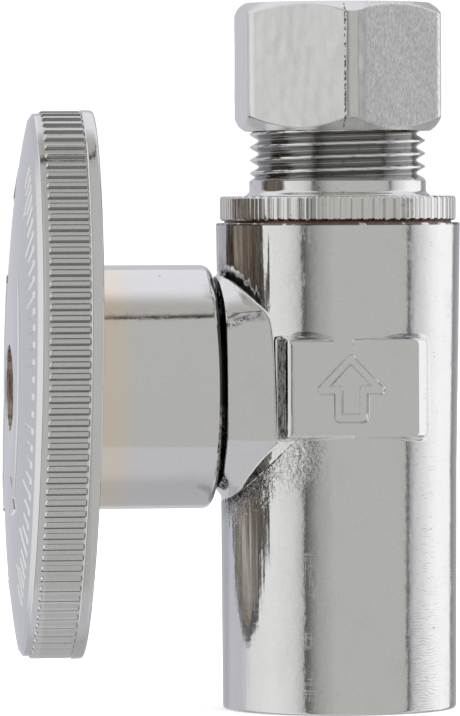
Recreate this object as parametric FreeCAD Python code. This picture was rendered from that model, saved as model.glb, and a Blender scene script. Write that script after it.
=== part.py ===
# Quarter-turn straight stop valve for a wash-basin or toilet supply, all brass with a die-cast oval handle.
# Frame: millimetres, +Z up along the waterway, from the inlet (bottom) to the outlet (top).
# Origin: centre of the inlet socket's mouth, on the valve's flat bottom face. The stem and handle point along -X.
# Each separate piece of the real valve is one STEP file in parts/.
import FreeCAD, Part
import math
import os
from FreeCAD import Vector as V, Matrix, Placement, Rotation

os.makedirs("parts", exist_ok=True)

# ---------------------------------------------------------------- driving dimensions (mm)
INCH = 25.4

# body, a forging with a slight draft
BODY_H = 39.6                 # bottom face to the adapter joint
BODY_R_BOT = 9.53             # outer radius at the inlet mouth (3/4 in across)
BODY_R_MID = 9.62             # outer radius at the stem's height minus 6
BODY_R_TOP = 9.95             # outer radius under the adapter
STEM_Z = 26.3                 # height of the stem's axis
INLET_R = 7.975               # solder socket for 5/8 in copper tube (1/2 in nominal)
INLET_DEPTH = 12.7
WATERWAY_R = 4.0
CHAMBER_R = 7.3               # ball chamber
CHAMBER_Z0 = 19.6
CHAMBER_Z1 = 33.0             # shelf the adapter stops on
ADAPTER_BORE_R = 8.2
BOSS_X = -10.2                # outer face of the side boss
BOSS_R_END = 9.0
BOSS_R_ROOT = 9.4
BOSS_HALF_W = 7.55            # flats on the boss, front and back
NECK_R = 6.0                  # stem housing inside the handle's shroud
NECK_X = -17.0
PAD_X = -0.35                 # centre of the raised marking pads, front and back
PAD_FACE_W = 10.8             # flat face, across and up
PAD_FACE_H = 7.9
PAD_Y = 9.95                  # distance of the pad's face from the axis
PAD_DRAFT_W = 0.42            # side walls lean out by this much per mm of depth
PAD_DRAFT_H = 0.14
ARROW_LINE = 0.45             # width and depth of the sunk flow arrow's line
ARROW_DEPTH = 0.25
STEM_BORE_R = 3.5
POCKET_R = 4.9
POCKET_X = -8.8

# outlet, 3/8 in tube compression joint on a 9/16-24 thread
PITCH = INCH / 24
THREAD_MAJOR_R = 7.13
THREAD_CORE_R = 6.48
COLLAR_Z0, COLLAR_Z1 = 39.76, 41.76
COLLAR_R = 9.58
COLLAR_FLUTES = 64
NECK_TOP_Z = 43.3
ADAPTER_TOP_Z = 50.5
TUBE_R = 4.80                 # socket for 3/8 in (9.525 mm) tube
TUBE_STOP_Z = 44.0
SEAT_CONE_R = 6.0
OUTLET_WAY_R = 3.6

# compression nut, 5/8 in hexagon
NUT_AF = 15.875
NUT_Z0, NUT_Z1 = 47.05, 57.45
NUT_TURN = 0.0                # how far a corner stands turned from the front (-Y), degrees
NUT_CORNER_R = 9.08
NUT_MINOR_R = 6.62
NUT_GROOVE_R = 7.24
NUT_HOLE_R = 4.95
SLEEVE_R = 6.05
SLEEVE_Z0, SLEEVE_Z1 = 51.25, 56.0

# ball and seats
BALL_R = 6.5
BALL_BORE_R = 3.6
SEAT_R_OUT = 7.2
SEAT_R_IN = 3.95
SEAT_CLEAR = 0.04

# stem train, along -X
HEAD_R, HEAD_X0, HEAD_X1 = 4.75, -7.35, -8.30
THRUST_X0, THRUST_X1 = -8.32, -8.78
SHAFT_R = 3.45
GROOVE_R = 2.55
GROOVES = (-11.0, -13.6)
SQUARE_X = -17.05
SQUARE_AF = 4.90
STEM_END_X = -22.0
PLATE_X0, PLATE_X1 = -17.07, -18.05
PLATE_R = 6.9
LUG_X = -17.95

# handle: oval knob with a round shroud, die cast in one piece
KNOB_A, KNOB_B = 22.02, 10.45  # half-axes of the grip's smooth land, along Z and along Y
RIB_H = 0.20
RIB_COUNT = 114
KNOB_BACK_X = -20.20
LIP_X = -21.05                # front of the rear lip
LIP_PROUD = 0.28
RIB_END_X = -24.55
KNOB_EDGE_X = -24.95          # front edge of the rim
DOME_H = 2.05
KNOB_WALL = 1.6
SHROUD_R = 9.90
SHROUD_RI = 8.40
SHROUD_X = -10.60
HUB_R = 5.0
SCREW_HOLE_R = 3.5
WEB_X0, WEB_X1 = -22.1, -22.9


def cyl_z(r, z0, z1):
    return Part.makeCylinder(r, z1 - z0, V(0, 0, z0))


def cyl_x(r, x0, x1, z=STEM_Z):
    lo = min(x0, x1)
    return Part.makeCylinder(r, abs(x1 - x0), V(lo, 0, z), V(1, 0, 0))


def cone_x(r0, r1, x0, x1, z=STEM_Z):
    """Cone along X with radius r0 at x0 and r1 at x1, x0 < x1."""
    return Part.makeCone(r0, r1, x1 - x0, V(x0, 0, z), V(1, 0, 0))


def box(x0, x1, y0, y1, z0, z1):
    return Part.makeBox(x1 - x0, y1 - y0, z1 - z0, V(x0, y0, z0))


def revolve_z(points):
    """Solid of revolution about Z from (r, z) points."""
    pts = [V(r, 0, z) for r, z in points]
    face = Part.Face(Part.makePolygon(pts + [pts[0]]))
    return face.revolve(V(0, 0, 0), V(0, 0, 1), 360)


def helix_solid(z0, turns, points):
    """Right-hand helical solid: a closed profile of (r, dz) points swept from the +X side at height z0."""
    h = Part.makeHelix(PITCH, PITCH * turns, points[0][0])
    pts = [V(r, 0, dz) for r, dz in points]
    s = Part.Wire(h.Edges).makePipeShell([Part.makePolygon(pts + [pts[0]])], True, True)
    s.translate(V(0, 0, z0))
    return s


def ellipse_wire(a, b, x):
    """Oval in the plane X = x, half-axis a along Z and b along Y, centred on the stem's axis."""
    e = Part.Ellipse(V(x, 0, STEM_Z + a), V(x, b, STEM_Z), V(x, 0, STEM_Z))
    return Part.Wire([e.toShape()])


def ellipse_solid(a, b, x0, x1):
    return Part.Face(ellipse_wire(a, b, x0)).extrude(V(x1 - x0, 0, 0))


def save(shape, name):
    shape = shape.removeSplitter() if hasattr(shape, "removeSplitter") else shape
    solids = shape.Solids
    if not solids:
        raise SystemExit("no solid in " + name)
    out = solids[0] if len(solids) == 1 else Part.makeCompound(solids)
    bb = out.BoundBox
    print("%-24s solids %d valid %s vol %9.2f  x %.2f..%.2f y %.2f..%.2f z %.2f..%.2f" % (
        name, len(solids), out.isValid(), out.Volume, bb.XMin, bb.XMax, bb.YMin, bb.YMax, bb.ZMin, bb.ZMax))
    out.exportStep("parts/" + name + ".step")
    return out


# ---------------------------------------------------------------- valve body
def try_fillet(shape, radius, pick, what):
    edges = [e for e in shape.Edges if pick(e)]
    try:
        out = shape.makeFillet(radius, edges)
        if out.isValid() and out.Volume > 0:
            return out
    except Exception as err:
        print("fillet skipped:", what, str(err)[:80])
        return shape
    print("fillet not valid:", what)
    return shape


def body():
    barrel = revolve_z([(0, 0), (BODY_R_BOT - 0.25, 0), (BODY_R_BOT, 0.25), (BODY_R_MID, STEM_Z - 6.0),
                        (BODY_R_TOP, BODY_H - 0.12), (BODY_R_TOP - 0.12, BODY_H), (0, BODY_H)])
    boss = cone_x(BOSS_R_END, BOSS_R_ROOT, BOSS_X, -2.0)
    boss = boss.common(box(BOSS_X - 1, 0, -BOSS_HALF_W, BOSS_HALF_W, STEM_Z - 12, STEM_Z + 12))
    boss = try_fillet(boss, 0.8, lambda e: (
        e.BoundBox.XLength > 3 and e.BoundBox.YLength < 0.5 and abs(abs(e.BoundBox.YMax) - BOSS_HALF_W) < 0.3), "boss corners")
    outer = barrel.fuse(boss).removeSplitter()
    # forged fillet where the boss meets the barrel
    outer = try_fillet(outer, 0.45, lambda e: (
        e.BoundBox.XMin > BOSS_X + 0.05 and e.BoundBox.XMax < -1.5 and
        e.BoundBox.ZMin > STEM_Z - BOSS_R_ROOT - 1.5 and e.BoundBox.ZMax < STEM_Z + BOSS_R_ROOT + 1.5 and
        e.BoundBox.YLength > 0.5 and e.BoundBox.ZLength > 0.5), "boss root")
    outer = try_fillet(outer, 0.25, lambda e: (
        abs(e.BoundBox.XMin - BOSS_X) < 1e-3 and abs(e.BoundBox.XMax - BOSS_X) < 1e-3), "boss rim")
    # marking pads, drafted sides and rounded corners
    for side in (-1, 1):
        y_in = 5.5
        def rect(y):
            w = PAD_FACE_W / 2 + (PAD_Y - y) * PAD_DRAFT_W
            h = PAD_FACE_H / 2 + (PAD_Y - y) * PAD_DRAFT_H
            return Part.makePolygon([V(PAD_X - w, side * y, STEM_Z - h), V(PAD_X + w, side * y, STEM_Z - h),
                                     V(PAD_X + w, side * y, STEM_Z + h), V(PAD_X - w, side * y, STEM_Z + h),
                                     V(PAD_X - w, side * y, STEM_Z - h)])
        pad = Part.makeLoft([rect(y_in), rect(PAD_Y)], True, True)
        pad = try_fillet(pad, 0.9, lambda e: e.BoundBox.YLength > 2, "pad corners")
        pad = try_fillet(pad, 0.3, lambda e: abs(e.BoundBox.YMin - side * PAD_Y) < 0.02 and abs(e.BoundBox.YMax - side * PAD_Y) < 0.02, "pad rim")
        outer = outer.fuse(pad)
    # flow arrow on the front pad, a sunk outline
    pts = [(-1.05, -2.35), (1.05, -2.35), (1.05, -0.1), (2.45, -0.1), (0.0, 2.4), (-2.45, -0.1), (-1.05, -0.1)]
    line = [V(PAD_X + x, -PAD_Y - 0.6, STEM_Z + z) for x, z in pts]
    wire = Part.makePolygon(line + [line[0]])
    groove = Part.Face(wire.makeOffset2D(ARROW_LINE / 2))
    island = Part.Face(wire.makeOffset2D(-ARROW_LINE / 2))
    groove = groove.extrude(V(0, 0.6 + ARROW_DEPTH, 0)).cut(island.extrude(V(0, 2.0, 0)))
    outer = outer.cut(groove)
    # stem housing inside the shroud, with the stop lug
    neck = cyl_x(NECK_R, NECK_X, -9.0)
    neck = neck.makeChamfer(0.3, [e for e in neck.Edges if abs(e.BoundBox.XMin - NECK_X) < 1e-3 and abs(e.BoundBox.XMax - NECK_X) < 1e-3])
    lug = Part.makeCylinder(5.9, NECK_X + 0.5 - LUG_X, V(LUG_X, 0, STEM_Z), V(1, 0, 0), 30)
    lug = lug.cut(cyl_x(4.35, LUG_X - 1, NECK_X + 2))
    # turn the lug about the stem's axis to its place
    bbc = lug.Solids[0].CenterOfMass
    now = math.degrees(math.atan2(bbc.z - STEM_Z, bbc.y))
    lug.rotate(V(0, 0, STEM_Z), V(1, 0, 0), LUG_ANGLE - now)
    outer = outer.fuse([neck, lug])
    # bores
    inner = cyl_z(INLET_R, -1, INLET_DEPTH).fuse([
        cyl_z(WATERWAY_R, 5, CHAMBER_Z0 + 1),
        cyl_z(CHAMBER_R, CHAMBER_Z0, CHAMBER_Z1 + 1),
        cyl_z(ADAPTER_BORE_R, CHAMBER_Z1, BODY_H + 1),
    ])
    outer = outer.cut(inner)
    outer = outer.cut(cyl_x(POCKET_R, POCKET_X, -3.0))
    outer = outer.cut(cyl_x(STEM_BORE_R, -20.0, -5.0))
    return outer


LUG_ANGLE = 135.0   # of the stop lug about the stem, from +Y towards +Z, degrees

# ---------------------------------------------------------------- outlet adapter
def fluted_collar():
    n = COLLAR_FLUTES
    pts = []
    for i in range(n):
        a0 = 2 * math.pi * i / n
        for f, r in ((0.0, COLLAR_R), (0.42, COLLAR_R), (0.58, COLLAR_R - 0.30), (0.84, COLLAR_R - 0.30)):
            a = a0 + 2 * math.pi * f / n
            pts.append(V(r * math.cos(a), r * math.sin(a), COLLAR_Z0))
    face = Part.Face(Part.makePolygon(pts + [pts[0]]))
    col = face.extrude(V(0, 0, COLLAR_Z1 - COLLAR_Z0))
    lim = revolve_z([(0, COLLAR_Z0), (COLLAR_R - 0.1, COLLAR_Z0), (COLLAR_R + 0.02, COLLAR_Z0 + 0.12), (COLLAR_R + 0.02, COLLAR_Z1 - 0.2),
                     (COLLAR_R - 0.2, COLLAR_Z1), (0, COLLAR_Z1)])
    return col.common(lim)


def adapter():
    z0 = CHAMBER_Z1 + 0.05
    core = revolve_z([
        (0, z0), (ADAPTER_BORE_R - 0.35, z0), (ADAPTER_BORE_R - 0.05, z0 + 0.3),
        (ADAPTER_BORE_R - 0.05, 35.2), (ADAPTER_BORE_R - 0.95, 35.2), (ADAPTER_BORE_R - 0.95, 36.5), (ADAPTER_BORE_R - 0.05, 36.5),
        (ADAPTER_BORE_R - 0.05, COLLAR_Z0 + 0.3), (7.45, COLLAR_Z0 + 0.3), (7.45, COLLAR_Z1), (7.35, COLLAR_Z1 + 0.12), (7.22, COLLAR_Z1 + 0.5),
        (7.20, NECK_TOP_Z - 0.35), (6.9, NECK_TOP_Z), (THREAD_CORE_R, NECK_TOP_Z + 0.25),
        (THREAD_CORE_R, ADAPTER_TOP_Z), (0, ADAPTER_TOP_Z)])
    rin = 6.35
    half = 0.066
    g = 0.577
    ridge = helix_solid(NECK_TOP_Z - 1.25, 8.6, [
        (rin, -(half + g * (THREAD_MAJOR_R - rin))), (THREAD_MAJOR_R, -half), (THREAD_MAJOR_R, half), (rin, half + g * (THREAD_MAJOR_R - rin))])
    part = core.fuse(ridge)
    # lead-in chamfer at the thread's end, by keeping what lies in a turned envelope
    env = revolve_z([(0, z0), (12, z0), (12, NECK_TOP_Z + 0.2), (THREAD_MAJOR_R + 0.3, NECK_TOP_Z + 0.4), (THREAD_MAJOR_R + 0.3, ADAPTER_TOP_Z - 1.05),
                     (6.35, ADAPTER_TOP_Z), (0, ADAPTER_TOP_Z)])
    part = part.common(env)
    part = part.fuse(fluted_collar())
    bore = revolve_z([(0, z0 - 1), (OUTLET_WAY_R, z0 - 1), (OUTLET_WAY_R, TUBE_STOP_Z), (TUBE_R, TUBE_STOP_Z),
                      (TUBE_R, ADAPTER_TOP_Z - (SEAT_CONE_R - TUBE_R)), (SEAT_CONE_R + 0.2, ADAPTER_TOP_Z + 0.2), (0, ADAPTER_TOP_Z + 0.2)])
    part = part.cut(bore)
    groove = cyl_z(6.35, z0 - 0.5, z0 + 1.0).cut(cyl_z(5.25, z0 - 1, z0 + 2))
    return part.cut(groove)


# ---------------------------------------------------------------- compression nut
def nut():
    r0 = NUT_AF / 2 / math.cos(math.radians(30))
    pts = []
    for i in range(6):
        a = math.radians(-90 + NUT_TURN + 60 * i)
        pts.append(V(r0 * math.cos(a), r0 * math.sin(a), NUT_Z0))
    hexa = Part.Face(Part.makePolygon(pts + [pts[0]])).extrude(V(0, 0, NUT_Z1 - NUT_Z0))
    env = revolve_z([(0, NUT_Z0), (7.62, NUT_Z0), (NUT_CORNER_R, NUT_Z0 + 1.12), (NUT_CORNER_R, NUT_Z1 - 0.98), (7.72, NUT_Z1), (0, NUT_Z1)])
    n = hexa.common(env)
    bore = revolve_z([(0, NUT_Z0 - 0.1), (NUT_GROOVE_R + 0.17, NUT_Z0 - 0.1), (NUT_MINOR_R, NUT_Z0 + 0.65), (NUT_MINOR_R, 54.6),
                      (NUT_HOLE_R, 56.27), (NUT_HOLE_R, NUT_Z1 - 0.25), (NUT_HOLE_R + 0.35, NUT_Z1 + 0.1), (0, NUT_Z1 + 0.1)])
    n = n.cut(bore)
    rin = 6.50
    half = 0.09
    g = 0.577
    groove = helix_solid(NECK_TOP_Z - 1.25 + 2 * PITCH, 8.4, [
        (rin, -(half + g * (NUT_GROOVE_R - rin))), (NUT_GROOVE_R, -half), (NUT_GROOVE_R, half), (rin, half + g * (NUT_GROOVE_R - rin))])
    return n.cut(groove)


def sleeve():
    s = revolve_z([(TUBE_R + 0.02, SLEEVE_Z0), (5.20, SLEEVE_Z0), (SLEEVE_R, SLEEVE_Z0 + 0.95), (SLEEVE_R, SLEEVE_Z1 - 0.98),
                   (5.12, SLEEVE_Z1), (TUBE_R + 0.02, SLEEVE_Z1)])
    return s


# ---------------------------------------------------------------- ball, seats and soft rings
def ball():
    b = Part.makeSphere(BALL_R, V(0, 0, STEM_Z))
    b = b.cut(cyl_z(BALL_BORE_R, STEM_Z - 8, STEM_Z + 8))
    b = b.common(cyl_z(BALL_R + 1, STEM_Z - 5.25, STEM_Z + 5.25))
    return b.cut(box(-8, -4.7, -8, 8, STEM_Z - 1.2, STEM_Z + 1.2))


def seat(upper):
    r = BALL_R + SEAT_CLEAR
    if upper:
        ring = cyl_z(SEAT_R_OUT, 29.2, CHAMBER_Z1).cut(cyl_z(SEAT_R_IN, 20, 40))
    else:
        ring = cyl_z(SEAT_R_OUT, CHAMBER_Z0, 23.4).cut(cyl_z(SEAT_R_IN, 10, 30))
    return ring.cut(Part.makeSphere(r, V(0, 0, STEM_Z)))


def torus_x(R, r, x):
    return Part.makeTorus(R, r, V(x, 0, STEM_Z), V(1, 0, 0))


# ---------------------------------------------------------------- stem train
def stem():
    s = cyl_x(HEAD_R, HEAD_X0, HEAD_X1)
    s = s.makeChamfer(0.2, [e for e in s.Edges if e.BoundBox.YLength > 5])
    tang = box(HEAD_X0 - 0.1, -4.85, -2.7, 2.7, STEM_Z - 1.12, STEM_Z + 1.12)
    shaft = cyl_x(SHAFT_R, HEAD_X1 + 0.1, STEM_END_X)
    for x in GROOVES:
        ring = cyl_x(SHAFT_R + 1, x - 0.7, x + 0.7).cut(cyl_x(GROOVE_R, x - 1, x + 1))
        shaft = shaft.cut(ring)
    sq = box(STEM_END_X - 1, SQUARE_X, -10, 10, STEM_Z - 10, STEM_Z + 10).cut(
        box(STEM_END_X - 2, SQUARE_X + 1, -SQUARE_AF / 2, SQUARE_AF / 2, STEM_Z - SQUARE_AF / 2, STEM_Z + SQUARE_AF / 2))
    shaft = shaft.cut(sq)
    s = s.fuse([tang, shaft])
    return s.cut(cyl_x(2.05, STEM_END_X - 1, -15.5))


def thrust_washer():
    return cyl_x(HEAD_R + 0.05, THRUST_X0, THRUST_X1).cut(cyl_x(SHAFT_R + 0.1, -12, -5))


def stop_plate():
    plate = cyl_x(PLATE_R, PLATE_X0, PLATE_X1)
    h = SQUARE_AF / 2 + 0.04
    plate = plate.cut(box(-20, -15, -h, h, STEM_Z - h, STEM_Z + h))
    # notch for the body's lug: 90 degrees of travel plus the lug's own width
    span = 30 + 90 + 4
    sector = Part.makeCylinder(9.0, 4.0, V(-19, 0, STEM_Z), V(1, 0, 0), span)
    sector = sector.cut(cyl_x(4.15, -20, -14))
    bbc = sector.Solids[0].CenterOfMass
    now = math.degrees(math.atan2(bbc.z - STEM_Z, bbc.y))
    # the handle turns +90 degrees about +X to close; in this frame the angle from +Y towards +Z then grows by 90
    start = LUG_ANGLE + 15 + 2 - span
    sector.rotate(V(0, 0, STEM_Z), V(1, 0, 0), (start + span / 2) - now)
    return plate.cut(sector)


# ---------------------------------------------------------------- handle
def knob():
    a, b = KNOB_A, KNOB_B
    land = ellipse_solid(a, b, KNOB_BACK_X, KNOB_EDGE_X)
    # rear lip, rounded by two smaller steps of a loft
    p = LIP_PROUD
    lip = Part.makeLoft([ellipse_wire(a - 0.25, b - 0.25, KNOB_BACK_X), ellipse_wire(a + p - 0.12, b + p - 0.12, KNOB_BACK_X - 0.18),
                         ellipse_wire(a + p, b + p, KNOB_BACK_X - 0.42)], True, True)
    lip = lip.fuse(ellipse_solid(a + p, b + p, KNOB_BACK_X - 0.42, LIP_X))
    # crowned front face: ovals that shrink with height
    rows = []
    for rho in (1.0, 0.985, 0.96, 0.92, 0.84, 0.74, 0.60, 0.42, 0.22):
        if rho > 0.95:
            w = 0.42 * math.sqrt(max(0.0, 1 - ((rho - 0.95) / 0.05) ** 2))
        else:
            w = 0.42 + (DOME_H - 0.42) * (1 - (rho / 0.95) ** 2.6)
        rows.append((rho, w))
    wires = [ellipse_wire(a * rho, b * rho, KNOB_EDGE_X - w) for rho, w in rows]
    dome = Part.makeLoft(wires, True, True)
    core = land.fuse([lip, dome])
    # ribs on the grip, evenly spaced along the oval
    n = 4000
    arc = [0.0]
    for i in range(n):
        t0, t1 = 2 * math.pi * i / n, 2 * math.pi * (i + 1) / n
        arc.append(arc[-1] + math.hypot(a * (math.cos(t1) - math.cos(t0)), b * (math.sin(t1) - math.sin(t0))))
    total = arc[-1]
    pitch = total / RIB_COUNT
    half = pitch * 0.27
    ribs = []
    j = 0
    for k in range(RIB_COUNT):
        s = (k + 0.5) * pitch
        while arc[j + 1] < s:
            j += 1
        t = 2 * math.pi * (j + (s - arc[j]) / (arc[j + 1] - arc[j])) / n
        z, y = a * math.cos(t), b * math.sin(t)
        nz, ny = math.cos(t) / a, math.sin(t) / b
        m = math.hypot(nz, ny)
        nz, ny = nz / m, ny / m
        tz, ty = -ny, nz
        def at(u, h, x):
            return V(x, y + ty * u + ny * h, STEM_Z + z + tz * u + nz * h)
        # section across the rib: a low trapezium with softened flanks
        sec = [(-half, -0.35), (-half, 0.02), (-half * 0.62, RIB_H * 0.86), (-half * 0.25, RIB_H), (half * 0.25, RIB_H), (half * 0.62, RIB_H * 0.86),
               (half, 0.02), (half, -0.35)]
        body = Part.Face(Part.makePolygon([at(u, h, LIP_X + 0.05) for u, h in sec] + [at(sec[0][0], sec[0][1], LIP_X + 0.05)])).extrude(
            V(RIB_END_X + 0.25 - LIP_X - 0.05, 0, 0))
        ribs.append(body)
    core = core.fuse(ribs)
    core = core.removeSplitter()
    # hollow back
    hollow = ellipse_solid(a - KNOB_WALL, b - KNOB_WALL, KNOB_BACK_X + 1, -23.75)
    core = core.cut(hollow)
    shroud = cyl_x(SHROUD_R, SHROUD_X, -24.2)
    shroud = shroud.makeFillet(0.85, [e for e in shroud.Edges if abs(e.BoundBox.XMax - SHROUD_X) < 1e-3 and abs(e.BoundBox.XMin - SHROUD_X) < 1e-3])
    core = core.fuse(shroud)
    core = core.cut(cyl_x(SHROUD_RI, SHROUD_X + 1, -23.55))
    core = core.fuse(cyl_x(HUB_R, -18.15, -24.2))
    core = core.cut(cyl_x(SCREW_HOLE_R, WEB_X1, -30))
    core = core.cut(cyl_x(2.3, -30, -18))
    h = SQUARE_AF / 2 + 0.04
    core = core.cut(box(WEB_X0, -15, -h, h, STEM_Z - h, STEM_Z + h))
    return core


def lock_washer():
    w = cyl_x(3.25, WEB_X1 - 0.02, WEB_X1 - 0.62).cut(cyl_x(2.15, -30, -20))
    return w.cut(box(-25, -22, -0.35, 0.35, STEM_Z, STEM_Z + 5))


def screw():
    x0 = WEB_X1 - 0.66
    head = cyl_x(3.15, x0, x0 - 1.7)
    head = head.makeFillet(0.6, [e for e in head.Edges if abs(e.BoundBox.XMin - (x0 - 1.7)) < 1e-3 and abs(e.BoundBox.XMax - (x0 - 1.7)) < 1e-3])
    shank = cyl_x(1.98, x0 + 0.05 - 0.1, -16.4)
    shank = shank.makeChamfer(0.4, [e for e in shank.Edges if abs(e.BoundBox.XMax + 16.4) < 1e-3 and abs(e.BoundBox.XMin + 16.4) < 1e-3])
    s = head.fuse(shank)
    for w, l in ((0.45, 1.75), (1.75, 0.45)):
        cross = box(x0 - 2.5, x0 - 0.75, -w, w, STEM_Z - l, STEM_Z + l)
        s = s.cut(cross)
    return s


save(body(), "valve_body")
save(adapter(), "outlet_adapter")
save(cyl_z(9.25, BODY_H + 0.01, COLLAR_Z0 - 0.01).cut(cyl_z(8.25, 30, 50)), "adapter_seal_ring")
save(Part.makeTorus(7.72, 0.45, V(0, 0, 35.85)), "adapter_o_ring")
save(seat(False), "inlet_seat")
save(seat(True), "outlet_seat")
save(Part.makeTorus(5.80, 0.46, V(0, 0, CHAMBER_Z1 + 0.05 + 0.48)), "seat_backing_o_ring")
save(ball(), "ball")
save(stem(), "stem")
save(thrust_washer(), "stem_thrust_washer")
save(torus_x(3.02, 0.45, GROOVES[0]), "stem_o_ring_inner")
save(torus_x(3.02, 0.45, GROOVES[1]), "stem_o_ring_outer")
save(stop_plate(), "stop_plate")
save(knob(), "handle")
save(screw(), "handle_screw")
save(lock_washer(), "screw_lock_washer")
save(nut(), "compression_nut")
save(sleeve(), "compression_sleeve")
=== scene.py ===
import math

import bpy
import numpy as np
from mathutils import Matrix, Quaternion, Vector


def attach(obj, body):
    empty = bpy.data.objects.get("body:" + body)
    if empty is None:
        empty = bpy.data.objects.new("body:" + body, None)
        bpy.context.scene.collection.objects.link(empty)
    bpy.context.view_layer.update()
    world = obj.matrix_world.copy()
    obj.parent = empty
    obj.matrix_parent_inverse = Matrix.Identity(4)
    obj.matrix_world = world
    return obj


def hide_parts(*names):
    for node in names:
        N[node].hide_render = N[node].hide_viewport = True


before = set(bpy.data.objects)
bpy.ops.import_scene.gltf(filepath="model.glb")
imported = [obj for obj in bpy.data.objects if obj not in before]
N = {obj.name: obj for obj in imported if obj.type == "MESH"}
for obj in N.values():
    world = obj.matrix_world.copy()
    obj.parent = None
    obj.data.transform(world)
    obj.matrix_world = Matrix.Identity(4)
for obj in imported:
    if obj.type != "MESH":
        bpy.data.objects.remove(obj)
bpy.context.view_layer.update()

MM = 0.001
TAU = 2 * math.pi

# ------------------------------------------------------------------ sizes (mm), the same frame as the CAD
STEM_Z = 26.3
BODY_H = 39.6
PITCH = 25.4 / 24
THREAD_Z0 = 43.3 - 1.25
KNOB_A, KNOB_B = 22.02, 10.45
RIBS = 114
NUT_Z0, NUT_Z1 = 47.05, 57.45


# ------------------------------------------------------------------ helpers
def sstep(a, b, x):
    t = np.clip((x - a) / (b - a), 0, 1)
    return t * t * (3 - 2 * t)


def smin(a, b, k):
    h = np.clip(0.5 + 0.5 * (b - a) / k, 0, 1)
    return b * (1 - h) + a * h - k * h * (1 - h)


def smax(a, b, k):
    return -smin(-a, -b, k)


def waves(x, y, z, length, seed, count=26, squash=(1, 1, 1)):
    """Smooth band-limited noise, about -1.5 to 1.5: a sum of sines in random directions with wavelengths near length (mm)."""
    rng = np.random.RandomState(seed)
    out = np.zeros(np.broadcast(x, y, z).shape)
    for _ in range(count):
        d = rng.normal(size=3)
        d /= np.linalg.norm(d)
        k = TAU / (length * rng.uniform(0.7, 1.5))
        ph = rng.uniform(0, TAU)
        out += np.sin(k * (d[0] * x * squash[0] + d[1] * y * squash[1] + d[2] * z * squash[2]) + ph)
    return out / math.sqrt(count / 2.0)


class Builder:
    """Collects closed or open grids and makes one mesh object of them."""

    def __init__(self):
        self.v, self.q, self.m, self.n = [], [], [], 0

    def grid(self, P, wrap_u=True, wrap_v=False, mat=0, outward=True, mats=None):
        """P[row, column, xyz] in mm. outward: the faces are turned so that the enclosed volume is positive."""
        P = np.asarray(P, float)
        nv, nu = P.shape[:2]
        s = self.n
        self.v.append(P.reshape(-1, 3))
        self.n += nv * nu
        iu = np.arange(nu if wrap_u else nu - 1)
        iv = np.arange(nv if wrap_v else nv - 1)
        V, U = np.meshgrid(iv, iu, indexing="ij")
        U2, V2 = (U + 1) % nu, (V + 1) % nv
        q = np.stack([V * nu + U, V * nu + U2, V2 * nu + U2, V2 * nu + U], -1).reshape(-1, 4)
        pts = P.reshape(-1, 3) - P.reshape(-1, 3).mean(0)
        a, b, c, d = (pts[q[:, i]] for i in range(4))
        vol = (np.einsum("ij,ij->i", a, np.cross(b, c)) + np.einsum("ij,ij->i", a, np.cross(c, d))).sum()
        if (vol < 0) == outward:
            q = q[:, ::-1]
        self.q.append(q + s)
        if mats is not None and np.ndim(mats) == 2:
            self.m.append(np.asarray(mats)[: len(iv), : len(iu)].ravel())
        elif mats is not None:
            self.m.append(np.repeat(np.asarray(mats)[: len(iv)], len(iu)))
        else:
            self.m.append(np.full(len(q), mat))

    def lathe(self, profile, axis="z", cols=360, mat=0, closed=True, mats=None, noise=0.0):
        """Ring-by-ring solid from (radius, along) points; closed joins the last point to the first."""
        ang = np.arange(cols) / cols * TAU
        r = np.array([p[0] for p in profile])[:, None]
        h = np.array([p[1] for p in profile])[:, None]
        c, s = np.cos(ang)[None, :], np.sin(ang)[None, :]
        if axis == "z":
            P = np.stack([r * c, r * s, h + 0 * c], -1)
        else:
            P = np.stack([h + 0 * c, r * c, STEM_Z + r * s], -1)
        if noise:
            P = P + (waves(P[..., 0], P[..., 1], P[..., 2], 5.0, 5) * noise)[..., None] * np.stack(
                [0 * r + 0 * c, 0 * r + c, 0 * r + s] if axis == "x" else [0 * r + c, 0 * r + s, 0 * r + 0 * c], -1)
        self.grid(P, True, closed, mat, mats=mats)

    def done(self, name, body, materials, sharp=38.0):
        v = np.concatenate(self.v) * MM
        q = np.concatenate(self.q)
        m = np.concatenate(self.m)
        # drop faces that have shrunk to nothing
        a = v[q[:, 0]] - v[q[:, 2]]
        b = v[q[:, 1]] - v[q[:, 3]]
        keep = np.linalg.norm(np.cross(a, b), axis=1) > 1e-14
        q, m = q[keep], m[keep]
        me = bpy.data.meshes.new(name)
        me.vertices.add(len(v))
        me.vertices.foreach_set("co", v.astype(np.float32).ravel())
        me.loops.add(q.size)
        me.loops.foreach_set("vertex_index", q.astype(np.int32).ravel())
        me.polygons.add(len(q))
        me.polygons.foreach_set("loop_start", (np.arange(len(q)) * 4).astype(np.int32))
        me.polygons.foreach_set("loop_total", np.full(len(q), 4, np.int32))
        me.polygons.foreach_set("material_index", m.astype(np.int32))
        me.update(calc_edges=True)
        me.validate()
        me.polygons.foreach_set("use_smooth", np.ones(len(me.polygons), bool))
        me.set_sharp_from_angle(angle=math.radians(sharp))
        for mt in materials:
            me.materials.append(mt)
        ob = bpy.data.objects.new(name, me)
        bpy.context.scene.collection.objects.link(ob)
        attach(ob, body)
        return ob


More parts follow.
